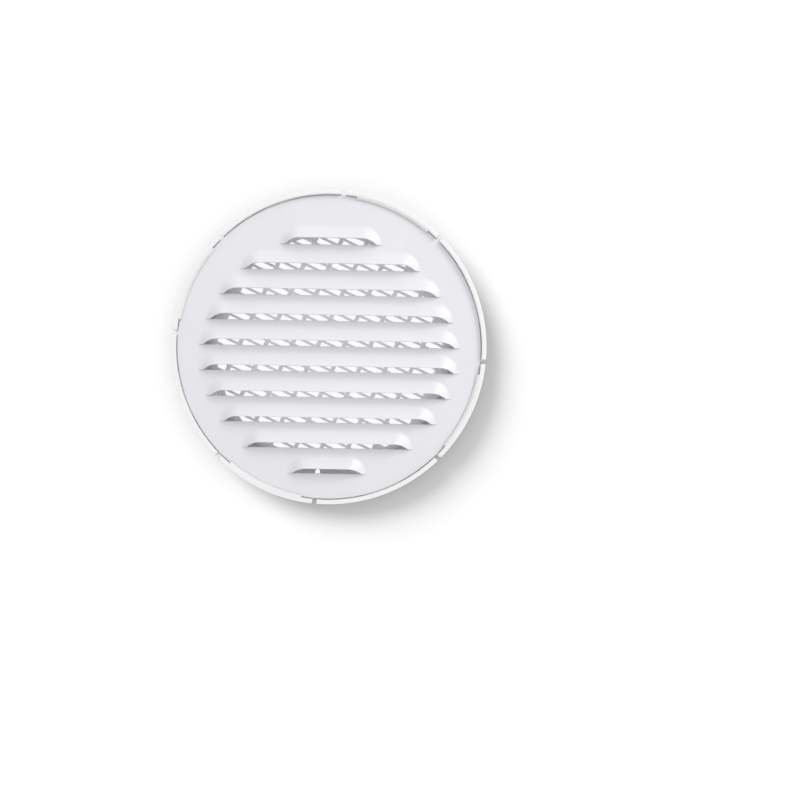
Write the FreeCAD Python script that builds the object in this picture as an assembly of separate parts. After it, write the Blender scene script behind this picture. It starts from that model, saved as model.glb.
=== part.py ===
"""Round vent cover for a wall: a pressed louvre plate snapped into a moulded ring with an insect mesh.

The pieces are drawn as they lie on a bench, back down: X to the right and Y up as seen from the front,
and Z as the distance from the wall. The last section stands them up, front towards -Y, with +Z up.
"""
import FreeCAD, Part
import math
import os

from FreeCAD import Vector

# The collar stands round the air path, and the flange runs out from it to the rim
collar_bore = 114.4
collar_wall = 1.8
flange_width = 17.8
flange_thickness = 2.0
rim_wall = 2.1
rim_rise = 1.6

# The mesh closes the collar, a little in front of the wall
mesh_recess = 2.4
mesh_thickness = 1.5
mesh_border = 1.9
hole_length = 9.6
hole_width = 2.64
cross_rib = 2.0
fine_rib = 1.15
smallest_hole_area = 8.0

# The plate and its seat
plate_thickness = 0.8
plate_edge_gap = 0.35
seat_height = 12.4
seat_rib_wall = 1.8
seat_rib_offset = 4.7

# Eight slits part the rim into four catch sectors and four plain ones
frame_turn = -24.5
quarter_turns = 4
catch_sector_angle = 40.0
slit_width = 2.3
slit_offset = 0.3

# The catch lugs, and the slots behind them that the mould's cores leave
lug_angle = 30.0
lug_overlap = 0.9
lug_clearance = 0.15
lug_nose = 0.5
core_slot_margin = 1.4

# The spring tongues, and the windows they stand in
tongue_width = 10.5
tongue_thickness = 1.4
tongue_reach = 8.4
tongue_bend_radius = 2.0
tongue_clearance = 0.2
tongue_side_gap = 1.45
tongue_end_gap = 1.6
window_corner_radius = 1.6

# The louvres, in rows counted both ways from the one just above the axis
hood_width = 7.2
hood_height = 4.4
hood_foot_width = 1.9
hood_foot_rise = 0.6
slot_gap = 2.4
slot_end_run = 6.8
flat_between = 2.56
cut_line_above_axis = 0.3
shortest_louvre = 34.0
louvre_margin = 0.2

# Sizes that follow from these
collar_radius = collar_bore / 2
collar_outer_radius = collar_radius + collar_wall
outer_radius = collar_radius + flange_width
rim_inner_radius = outer_radius - rim_wall
plate_radius = rim_inner_radius - plate_edge_gap
plate_front = seat_height + plate_thickness
rim_height = plate_front + rim_rise
mesh_front = mesh_recess + mesh_thickness
mesh_field_radius = collar_radius - mesh_border
rib_inner_radius = collar_outer_radius + seat_rib_offset
rib_outer_radius = rib_inner_radius + seat_rib_wall
tongue_tip_radius = collar_outer_radius + tongue_reach
window_end = tongue_tip_radius + tongue_end_gap
window_width = tongue_width + 2 * tongue_side_gap
hood_reach = hood_width + slot_gap
louvre_pitch = hood_reach + flat_between
louvre_field = rib_inner_radius - louvre_margin
quarter = 360.0 / quarter_turns
catch_angles = [frame_turn + quarter * turn for turn in range(quarter_turns)]
tongue_angles = [angle + quarter / 2 for angle in catch_angles]
cut_margin = 1.0

AXIS = Vector(0, 0, 1)
CENTRE = Vector(0, 0, 0)


def turned(shape, angle):
    """A copy of a shape, turned about the cover's axis."""
    copy = shape.copy()
    copy.rotate(CENTRE, AXIS, angle)
    return copy


def section_face(points):
    """A flat face through points given as (radius, height), in the plane of the axis."""
    corners = [Vector(radius, 0, height) for radius, height in points]
    return Part.Face(Part.makePolygon(corners + corners[:1]))


def sector(face, angle):
    """A section face swept round the axis, centred on the X direction."""
    return turned(face.revolve(CENTRE, AXIS, angle), -angle / 2)


def block(start, end, width, bottom, top):
    """A block along the X direction from one radius to another."""
    corner = Vector(start, -width / 2, bottom)
    return Part.makeBox(end - start, width, top - bottom, corner)


def ring_body():
    """The ring's turned form: flange, rim wall, seat rib and collar in one section."""
    section = section_face([
        (collar_radius, 0),
        (outer_radius, 0),
        (outer_radius, rim_height),
        (rim_inner_radius, rim_height),
        (rim_inner_radius, flange_thickness),
        (rib_outer_radius, flange_thickness),
        (rib_outer_radius, seat_height),
        (rib_inner_radius, seat_height),
        (rib_inner_radius, flange_thickness),
        (collar_outer_radius, flange_thickness),
        (collar_outer_radius, mesh_front),
        (collar_radius, mesh_front),
    ])
    return section.revolve(CENTRE, AXIS, 360)


def catch_lug():
    """A lug that overhangs the plate's edge, with a sloping face that the plate snaps past."""
    underside = plate_front + lug_clearance
    tip_radius = plate_radius - lug_overlap
    root_radius = rim_inner_radius + rim_wall / 2
    section = section_face([
        (root_radius, underside),
        (tip_radius, underside),
        (tip_radius, underside + lug_nose),
        (rim_inner_radius, rim_height),
        (root_radius, rim_height),
    ])
    return sector(section, lug_angle)


def core_slot():
    """The cut behind a lug: an arc through the flange, as long as the lug."""
    inner_radius = plate_radius - lug_overlap - core_slot_margin
    section = section_face([
        (inner_radius, -cut_margin),
        (rim_inner_radius, -cut_margin),
        (rim_inner_radius, flange_thickness),
        (inner_radius, flange_thickness),
    ])
    return sector(section, lug_angle)


def rim_slit():
    """The cut of one slit: through the flange up to the collar, and through the whole rim wall."""
    inner_end = collar_outer_radius + slit_offset + slit_width / 2
    beyond = outer_radius + cut_margin
    flange_cut = block(inner_end, beyond, slit_width, -cut_margin, flange_thickness)
    foot = Vector(inner_end, 0, -cut_margin)
    round_end = Part.makeCylinder(slit_width / 2, flange_thickness + cut_margin, foot)
    wall_start = rim_inner_radius - cut_margin
    wall_cut = block(wall_start, beyond, slit_width, -cut_margin, rim_height + cut_margin)
    return flange_cut.fuse([round_end, wall_cut])


def tongue_window():
    """The cut round one tongue: through flange and seat rib, and through the collar behind the mesh."""
    inside = collar_radius - cut_margin
    over_rib = seat_height + cut_margin
    behind_mesh = block(inside, window_end, window_width, -cut_margin, mesh_recess)
    through_rib = block(collar_outer_radius, window_end, window_width, -cut_margin, over_rib)
    window = behind_mesh.fuse(through_rib).removeSplitter()
    corners = [
        edge for edge in window.Edges
        if edge.BoundBox.ZLength > seat_height and edge.BoundBox.XMin > window_end - 1e-6
    ]
    return window.makeFillet(window_corner_radius, corners)


def arc_through(centre, radius, start_angle, end_angle):
    """An arc in the plane of the axis, by its centre (radius, height) and two angles from X."""
    def at(angle):
        turn = math.radians(angle)
        return Vector(centre[0] + radius * math.cos(turn), 0, centre[1] + radius * math.sin(turn))

    return Part.Arc(at(start_angle), at((start_angle + end_angle) / 2), at(end_angle)).toShape()


def joined_face(curves):
    """A face bounded by curves in order, with straight lines across the open ends."""
    edges = []
    for curve, following in zip(curves, curves[1:] + curves[:1]):
        edges.append(curve)
        end = curve.lastVertex(True).Point
        start = following.firstVertex(True).Point
        if end.distanceToPoint(start) > 1e-7:
            edges.append(Part.makeLine(end, start))
    return Part.Face(Part.Wire(edges))


def spring_tongue():
    """A curved tongue from the mesh's border up to the back of the plate, which it presses forward."""
    half = tongue_thickness / 2
    start = collar_outer_radius
    run = tongue_reach
    low = mesh_front - half
    rise = seat_height - tongue_clearance - half - low
    spread = math.hypot(run, rise - 2 * tongue_bend_radius)
    slope = math.degrees(
        math.atan2(rise - 2 * tongue_bend_radius, run) + math.asin(2 * tongue_bend_radius / spread)
    )
    root_centre = (start, low + tongue_bend_radius)
    tip_centre = (start + run, low + rise - tongue_bend_radius)
    underside = [
        arc_through(root_centre, tongue_bend_radius + half, -90, -90 + slope),
        arc_through(tip_centre, tongue_bend_radius - half, 90 + slope, 90),
    ]
    topside = [
        arc_through(tip_centre, tongue_bend_radius + half, 90, 90 + slope),
        arc_through(root_centre, tongue_bend_radius - half, -90 + slope, -90),
    ]
    section = joined_face(underside + topside)
    curved = section.extrude(Vector(0, tongue_width, 0))
    curved.translate(Vector(0, -tongue_width / 2, 0))
    root = block(collar_radius, start, tongue_width, low - half, low + half)
    return curved.fuse(root)


def insect_mesh():
    """A flat mesh of long holes between wide and fine ribs, cut off by a round border."""
    column_pitch = hole_length + cross_rib
    row_pitch = hole_width + fine_rib
    columns = math.ceil(mesh_field_radius / column_pitch)
    rows = math.ceil(mesh_field_radius / row_pitch)
    openings = []
    for column in range(-columns, columns + 1):
        for row in range(-rows, rows + 1):
            corner = Vector(column * column_pitch - hole_length / 2, row * row_pitch - hole_width / 2, 0)
            openings.append(Part.makePlane(hole_length, hole_width, corner))
    field = Part.Face(Part.Wire(Part.makeCircle(mesh_field_radius)))
    clipped = field.common(Part.makeCompound(openings)).Faces
    holes = [face.OuterWire for face in clipped if face.Area > smallest_hole_area]
    border = Part.Wire(Part.makeCircle(collar_radius + collar_wall / 2))
    sheet = Part.makeFace([border] + holes, "Part::FaceMakerBullseye")
    mesh = sheet.extrude(Vector(0, 0, mesh_thickness))
    mesh.translate(Vector(0, 0, mesh_recess))
    return turned(mesh, frame_turn)


def mesh_frame():
    """The moulded ring with its lugs, slits, tongues and mesh, as one solid."""
    lugs = [turned(catch_lug(), angle) for angle in catch_angles]
    frame = ring_body().fuse(lugs)
    cuts = []
    for angle in catch_angles:
        cuts.append(turned(core_slot(), angle))
        cuts.append(turned(rim_slit(), angle - catch_sector_angle / 2))
        cuts.append(turned(rim_slit(), angle + catch_sector_angle / 2))
    cuts += [turned(tongue_window(), angle) for angle in tongue_angles]
    frame = frame.cut(cuts)
    tongues = [turned(spring_tongue(), angle) for angle in tongue_angles]
    return frame.fuse(tongues + [insect_mesh()]).removeSplitter()


def hood_section():
    """The section of a louvre's sheet, by the distance from its cut line: lip, slope and shallow foot."""
    foot_top = (hood_reach - hood_foot_width, plate_front + hood_foot_rise)
    lip_top = plate_front + hood_height
    slope = math.atan2(lip_top - foot_top[1], foot_top[0] - slot_gap)
    lip_under = lip_top - plate_thickness / math.cos(slope)
    under_foot = slot_gap + (lip_under - seat_height) / math.tan(slope)
    return section_face([
        (slot_gap, lip_under),
        (under_foot, seat_height),
        (hood_reach, seat_height),
        (hood_reach, plate_front),
        foot_top,
        (slot_gap, lip_top),
    ])


def footprint_section():
    """The section of the flat sheet that a louvre takes the place of."""
    low = seat_height - cut_margin
    high = plate_front + cut_margin
    return section_face([(0, low), (hood_reach, low), (hood_reach, high), (0, high)])


def row_form(section, half_length):
    """A section carried along a row and turned down to the cut line at both ends."""
    straight = half_length - hood_reach
    middle = turned(section, 90).extrude(Vector(2 * straight, 0, 0))
    middle.translate(Vector(-straight, 0, 0))
    right = section.revolve(CENTRE, AXIS, 90)
    left = turned(right, 90)
    right.translate(Vector(straight, 0, 0))
    left.translate(Vector(-straight, 0, 0))
    return middle.fuse([right, left])


def louvre_slot(half_length):
    """The opening seen from the front: a straight cut below, and above it the lip, arched at both ends."""
    straight = half_length - hood_reach
    arch_radius = (slot_end_run ** 2 + slot_gap ** 2) / (2 * slot_gap)
    half_turn = math.asin(slot_end_run / arch_radius) / 2
    arch_run = arch_radius * math.sin(half_turn)
    arch_drop = arch_radius * (1 - math.cos(half_turn))

    def pair(x, y):
        return Vector(x, y, 0), Vector(-x, y, 0)

    tip, left_tip = pair(straight + slot_end_run, 0)
    arch, left_arch = pair(straight + arch_run, slot_gap - arch_drop)
    lip, left_lip = pair(straight, slot_gap)
    outline = Part.Wire([
        Part.makeLine(left_tip, tip),
        Part.Arc(tip, arch, lip).toShape(),
        Part.makeLine(lip, left_lip),
        Part.Arc(left_lip, left_arch, left_tip).toShape(),
    ])
    opening = Part.Face(outline).extrude(Vector(0, 0, plate_thickness + hood_height + 2 * cut_margin))
    opening.translate(Vector(0, 0, seat_height - cut_margin))
    return opening


def row_half_length(cut_line):
    """Half the length of a row by its cut line: the edge farther from the axis ends on the louvre field."""
    far_edge = max(abs(cut_line), abs(cut_line + hood_reach))
    return math.sqrt(max(louvre_field ** 2 - far_edge ** 2, 0))


def louvre_cut_lines():
    """The heights of the rows' cut lines, up and down from the axis as far as a row is long enough."""
    lines = []
    above = cut_line_above_axis
    for first, step in ((above, louvre_pitch), (above - louvre_pitch, -louvre_pitch)):
        line = first
        while 2 * row_half_length(line) >= shortest_louvre:
            lines.append(line)
            line += step
    return lines


def louvre_plate():
    """The round sheet with its louvres, each slit along its lower edge and pressed out to the front."""
    plate = Part.makeCylinder(plate_radius, plate_thickness, Vector(0, 0, seat_height))
    flats = []
    hoods = []
    for line in louvre_cut_lines():
        half_length = row_half_length(line)
        flat = row_form(footprint_section(), half_length)
        hood = row_form(hood_section(), half_length).cut(louvre_slot(half_length))
        for shape, made in ((flat, flats), (hood, hoods)):
            shape.translate(Vector(0, line, 0))
            made.append(shape)
    return plate.cut(flats).fuse(hoods).removeSplitter()


# Stand each piece up on the wall and write it
os.makedirs("parts", exist_ok=True)
for name, shape in {"mesh_frame": mesh_frame(), "louvre_plate": louvre_plate()}.items():
    shape.rotate(CENTRE, Vector(1, 0, 0), 90)
    print(name, "solids", len(shape.Solids), "valid", shape.isValid(), "volume", round(shape.Volume))
    shape.exportStep("parts/" + name + ".step")
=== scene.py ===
"""Looks of the round vent cover: a white coated louvre plate in a white plastic ring, on a white wall."""

import math

import bpy
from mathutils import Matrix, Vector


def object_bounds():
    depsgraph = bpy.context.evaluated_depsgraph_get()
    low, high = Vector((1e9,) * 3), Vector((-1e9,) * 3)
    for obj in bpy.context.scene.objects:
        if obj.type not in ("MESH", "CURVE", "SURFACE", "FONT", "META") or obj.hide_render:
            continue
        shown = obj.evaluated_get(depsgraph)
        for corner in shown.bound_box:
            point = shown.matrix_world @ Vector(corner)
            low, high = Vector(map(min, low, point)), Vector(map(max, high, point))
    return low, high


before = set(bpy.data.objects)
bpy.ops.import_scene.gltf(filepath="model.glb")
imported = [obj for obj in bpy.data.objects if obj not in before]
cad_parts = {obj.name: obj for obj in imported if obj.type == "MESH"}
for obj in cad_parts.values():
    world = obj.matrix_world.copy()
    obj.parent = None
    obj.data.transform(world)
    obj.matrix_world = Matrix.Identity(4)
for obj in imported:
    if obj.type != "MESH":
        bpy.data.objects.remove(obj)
cad_low, cad_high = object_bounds()
scene = bpy.context.scene

# The louvre plate: aluminium sheet with its louvres slit and pressed out in one stroke, then powder
# coated white. It lies on the ring's seat rib, and the four lugs hold it down at its edge.
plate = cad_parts["louvre_plate"]
sharp_fold = math.radians(32.0)
weld_distance = 0.000001
grain_detail = 2.0
cloud_detail = 3.0
grain_strength = 0.35

# The solids come as flat facets. These nodes weld them, and leave hard only what folds sharply.
soft_folds = bpy.data.node_groups.new("soft_folds", "GeometryNodeTree")
soft_folds.interface.new_socket("Geometry", in_out="INPUT", socket_type="NodeSocketGeometry")
soft_folds.interface.new_socket("Geometry", in_out="OUTPUT", socket_type="NodeSocketGeometry")
fold_input = soft_folds.nodes.new("NodeGroupInput")
fold_output = soft_folds.nodes.new("NodeGroupOutput")
fold_weld = soft_folds.nodes.new("GeometryNodeMergeByDistance")
fold_weld.inputs["Distance"].default_value = weld_distance
fold_normals = soft_folds.nodes.new("GeometryNodeRemoveAttribute")
fold_normals.inputs["Name"].default_value = "custom_normal"
fold_faces = soft_folds.nodes.new("GeometryNodeSetShadeSmooth")
fold_angle = soft_folds.nodes.new("GeometryNodeInputMeshEdgeAngle")
fold_sharp = soft_folds.nodes.new("FunctionNodeCompare")
fold_sharp.data_type = "FLOAT"
fold_sharp.operation = "GREATER_THAN"
fold_sharp.inputs["B"].default_value = sharp_fold
fold_edges = soft_folds.nodes.new("GeometryNodeSetShadeSmooth")
fold_edges.domain = "EDGE"
fold_edges.inputs["Shade Smooth"].default_value = False
soft_folds.links.new(fold_input.outputs["Geometry"], fold_weld.inputs["Geometry"])
soft_folds.links.new(fold_weld.outputs["Geometry"], fold_normals.inputs["Geometry"])
soft_folds.links.new(fold_normals.outputs["Geometry"], fold_faces.inputs["Geometry"])
soft_folds.links.new(fold_faces.outputs["Geometry"], fold_edges.inputs["Geometry"])
soft_folds.links.new(fold_angle.outputs["Unsigned Angle"], fold_sharp.inputs["A"])
soft_folds.links.new(fold_sharp.outputs["Result"], fold_edges.inputs["Selection"])
soft_folds.links.new(fold_edges.outputs["Geometry"], fold_output.inputs["Geometry"])


def soften(piece):
    """Shade the gentle folds of a piece as one curve, and keep its sharp edges."""
    folds = piece.modifiers.new("soft_folds", "NODES")
    folds.node_group = soft_folds
    shading = piece.modifiers.new("even_shading", "WEIGHTED_NORMAL")
    shading.keep_sharp = True


soften(plate)

# A fine grain and broad, faint clouds over a surface, which the coat and the plastic both have.
surface_grain = bpy.data.node_groups.new("surface_grain", "ShaderNodeTree")
surface_grain.interface.new_socket("Grain Scale", in_out="INPUT", socket_type="NodeSocketFloat")
surface_grain.interface.new_socket("Cloud Scale", in_out="INPUT", socket_type="NodeSocketFloat")
surface_grain.interface.new_socket("Grain", in_out="OUTPUT", socket_type="NodeSocketFloat")
surface_grain.interface.new_socket("Cloud", in_out="OUTPUT", socket_type="NodeSocketFloat")
grain_input = surface_grain.nodes.new("NodeGroupInput")
grain_output = surface_grain.nodes.new("NodeGroupOutput")
grain_place = surface_grain.nodes.new("ShaderNodeTexCoord")
grain_noise = surface_grain.nodes.new("ShaderNodeTexNoise")
grain_noise.inputs["Detail"].default_value = grain_detail
cloud_noise = surface_grain.nodes.new("ShaderNodeTexNoise")
cloud_noise.inputs["Detail"].default_value = cloud_detail
surface_grain.links.new(grain_place.outputs["Object"], grain_noise.inputs["Vector"])
surface_grain.links.new(grain_place.outputs["Object"], cloud_noise.inputs["Vector"])
surface_grain.links.new(grain_input.outputs["Grain Scale"], grain_noise.inputs["Scale"])
surface_grain.links.new(grain_input.outputs["Cloud Scale"], cloud_noise.inputs["Scale"])
surface_grain.links.new(grain_noise.outputs["Fac"], grain_output.inputs["Grain"])
surface_grain.links.new(cloud_noise.outputs["Fac"], grain_output.inputs["Cloud"])


def grained_finish(
    name, light_tone, dark_tone, grain_scale, cloud_scale, smoothest, roughest, grain_height, edge_radius
):
    """A white finish with a fine grain, faint clouds of tone, uneven gloss and soft edges."""
    finish = bpy.data.materials.new(name)
    finish.use_nodes = True
    nodes = finish.node_tree.nodes
    links = finish.node_tree.links
    shader = nodes["Principled BSDF"]
    grain = nodes.new("ShaderNodeGroup")
    grain.node_tree = surface_grain
    grain.inputs["Grain Scale"].default_value = grain_scale
    grain.inputs["Cloud Scale"].default_value = cloud_scale
    tone = nodes.new("ShaderNodeMix")
    tone.data_type = "RGBA"
    tone.inputs["A"].default_value = light_tone
    tone.inputs["B"].default_value = dark_tone
    gloss = nodes.new("ShaderNodeMapRange")
    gloss.inputs["To Min"].default_value = smoothest
    gloss.inputs["To Max"].default_value = roughest
    corner = nodes.new("ShaderNodeBevel")
    corner.inputs["Radius"].default_value = edge_radius
    bump = nodes.new("ShaderNodeBump")
    bump.inputs["Strength"].default_value = grain_strength
    bump.inputs["Distance"].default_value = grain_height
    links.new(grain.outputs["Cloud"], tone.inputs["Factor"])
    links.new(tone.outputs["Result"], shader.inputs["Base Color"])
    links.new(grain.outputs["Cloud"], gloss.inputs["Value"])
    links.new(gloss.outputs["Result"], shader.inputs["Roughness"])
    links.new(corner.outputs["Normal"], bump.inputs["Normal"])
    links.new(grain.outputs["Grain"], bump.inputs["Height"])
    links.new(bump.outputs["Normal"], shader.inputs["Normal"])
    return finish


powder_coat = grained_finish(
    "white_powder_coat",
    light_tone=(0.715, 0.715, 0.745, 1.0),
    dark_tone=(0.685, 0.685, 0.715, 1.0),
    grain_scale=700.0,
    cloud_scale=60.0,
    smoothest=0.30,
    roughest=0.42,
    grain_height=0.00005,
    edge_radius=0.0004,
)
plate.data.materials.clear()
plate.data.materials.append(powder_coat)

# The ring with its insect mesh: one moulding of white plastic that lets a little light through, satin
# from its spark-eroded mould. Its flange lies on the wall, and the slits let its rim give way when the
# plate snaps in.
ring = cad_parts["mesh_frame"]
scatter_weight = 0.5
scatter_depth = 0.004
scatter_tint = (1.0, 0.95, 0.9)

soften(ring)
satin_plastic = grained_finish(
    "white_satin_plastic",
    light_tone=(0.765, 0.76, 0.765, 1.0),
    dark_tone=(0.735, 0.73, 0.735, 1.0),
    grain_scale=2400.0,
    cloud_scale=45.0,
    smoothest=0.32,
    roughest=0.46,
    grain_height=0.00002,
    edge_radius=0.0004,
)
plastic_shader = satin_plastic.node_tree.nodes["Principled BSDF"]
plastic_shader.inputs["Subsurface Weight"].default_value = scatter_weight
plastic_shader.inputs["Subsurface Radius"].default_value = scatter_tint
plastic_shader.inputs["Subsurface Scale"].default_value = scatter_depth
ring.data.materials.clear()
ring.data.materials.append(satin_plastic)

# The wall: a large white panel just behind the flange, there for the eye alone. It takes the cover's
# shadow, but neither stops light nor throws it back, and from behind it is clear, so that the back of
# the cover shows.
wall_half = 3.0
wall_gap = 0.0004
wall_y = cad_high.y + wall_gap
wall_tone = (0.28, 0.28, 0.28, 1.0)


def one_sided(name, surface_type):
    """A material whose surface shows from the front alone."""
    material = bpy.data.materials.new(name)
    material.use_nodes = True
    nodes = material.node_tree.nodes
    links = material.node_tree.links
    nodes.clear()
    output = nodes.new("ShaderNodeOutputMaterial")
    mix = nodes.new("ShaderNodeMixShader")
    surface = nodes.new(surface_type)
    clear = nodes.new("ShaderNodeBsdfTransparent")
    side = nodes.new("ShaderNodeNewGeometry")
    links.new(side.outputs["Backfacing"], mix.inputs["Fac"])
    links.new(surface.outputs[0], mix.inputs[1])
    links.new(clear.outputs["BSDF"], mix.inputs[2])
    links.new(mix.outputs["Shader"], output.inputs["Surface"])
    return material, surface


def flat_panel(name, corners, material):
    """A flat stage piece through its corners, which stays out of the way of the light."""
    mesh = bpy.data.meshes.new(name)
    mesh.from_pydata(corners, [], [tuple(range(len(corners)))])
    mesh.materials.append(material)
    panel = bpy.data.objects.new(name, mesh)
    panel.visible_diffuse = False
    panel.visible_glossy = False
    panel.visible_transmission = False
    panel.visible_shadow = False
    scene.collection.objects.link(panel)
    return panel


wall_paint, wall_surface = one_sided("wall_white", "ShaderNodeBsdfDiffuse")
wall_surface.inputs["Color"].default_value = wall_tone
wall_corners = [(x * wall_half, wall_y, z * wall_half) for x, z in ((-1, -1), (1, -1), (1, 1), (-1, 1))]
wall = flat_panel("wall", wall_corners, wall_paint)

# The duct's mouth behind the mesh: a disc of daylight as wide as the duct, between the flange and the
# wall. Like the wall, it shows from the front alone and stays out of the way of the light.
mouth_radius = 0.0625
mouth_sides = 96
mouth_gap = 0.0002
mouth_y = cad_high.y + mouth_gap
daylight_strength = 0.97

mouth_corners = []
for side in range(mouth_sides):
    turn = 2.0 * math.pi * side / mouth_sides
    mouth_corners.append((mouth_radius * math.cos(turn), mouth_y, mouth_radius * math.sin(turn)))
daylight, daylight_surface = one_sided("daylight", "ShaderNodeEmission")
daylight_surface.inputs["Strength"].default_value = daylight_strength
flat_panel("duct_daylight", mouth_corners, daylight)

# The light: plate and ring each have a soft lamp in front, from the right and above, and one behind
# them. The wall has two wide suns, one from the front and one from the upper left, which lays the
# cover's shadow down to the right. The room around is white.
room_white = (1.0, 1.0, 1.0, 1.0)
room_strength = 0.93


def aimed_lamp(name, kind, place, energy, lit_piece):
    """A lamp aimed at the middle of the cover, which lights one piece alone."""
    data = bpy.data.lights.new(name, kind)
    data.energy = energy
    lamp = bpy.data.objects.new(name, data)
    lamp.location = place
    lamp.rotation_euler = (-lamp.location).to_track_quat("-Z", "Y").to_euler()
    lit_group = bpy.data.collections.new(name + "_lit")
    lit_group.objects.link(lit_piece)
    lamp.light_linking.receiver_collection = lit_group
    scene.collection.objects.link(lamp)
    return data


for name, place, width, energy, lit_piece in (
    ("plate_key", (1.0, -0.8, 0.95), 0.6, 12.0, plate),
    ("ring_key", (0.75, -1.05, 0.8), 0.6, 7.9, ring),
    ("plate_back", (-0.5, 1.4, 0.5), 0.8, 16.0, plate),
    ("ring_back", (-1.0, 1.1, 0.8), 0.8, 6.0, ring),
):
    square_lamp = aimed_lamp(name, "AREA", place, energy, lit_piece)
    square_lamp.shape = "SQUARE"
    square_lamp.size = width

for name, place, spread, energy in (
    ("wall_front", (0.0, -1.0, 0.0), 90.0, 4.0),
    ("wall_left", (-0.9, -1.0, 0.8), 32.0, 7.0),
):
    wide_sun = aimed_lamp(name, "SUN", place, energy, wall)
    wide_sun.angle = math.radians(spread)

room = bpy.data.worlds.new("white_room")
room.use_nodes = True
room_light = room.node_tree.nodes["Background"]
room_light.inputs["Color"].default_value = room_white
room_light.inputs["Strength"].default_value = room_strength
scene.world = room
scene.view_settings.view_transform = "Standard"

# The camera stands square to the wall, below and to the right of the middle of the cover, and is turned
# a little about its own axis. Its lens is shifted, so that the cover lies up and to the left in the
# picture. The places in the picture are in pixels, and are those of the cover's middle and of the axis.
image_size = 800.0
cover_diameter = 0.150
cover_pixels = 314.0
centre_x = 329.0
centre_y = 347.0
axis_x = 347.0
axis_y = 415.0
hood_height = 0.0044
camera_distance = 0.400
camera_roll = math.radians(-1.0)
sensor_width = 36.0

pixel_size = cover_diameter / cover_pixels
plate_front = cad_low.y + hood_height
aside = (axis_x - centre_x) * math.cos(camera_roll) - (axis_y - centre_y) * math.sin(camera_roll)
below = (axis_y - centre_y) * math.cos(camera_roll) + (axis_x - centre_x) * math.sin(camera_roll)
camera_data = bpy.data.cameras.new("photo_camera")
camera_data.sensor_width = sensor_width
camera_data.lens = sensor_width * camera_distance / (image_size * pixel_size)
camera_data.shift_x = (image_size / 2.0 - axis_x) / image_size
camera_data.shift_y = (axis_y - image_size / 2.0) / image_size
camera = bpy.data.objects.new("photo_camera", camera_data)
camera.location = (aside * pixel_size, plate_front - camera_distance, -below * pixel_size)
camera.rotation_euler = (math.radians(90.0), camera_roll, 0.0)
scene.collection.objects.link(camera)
scene.camera = camera
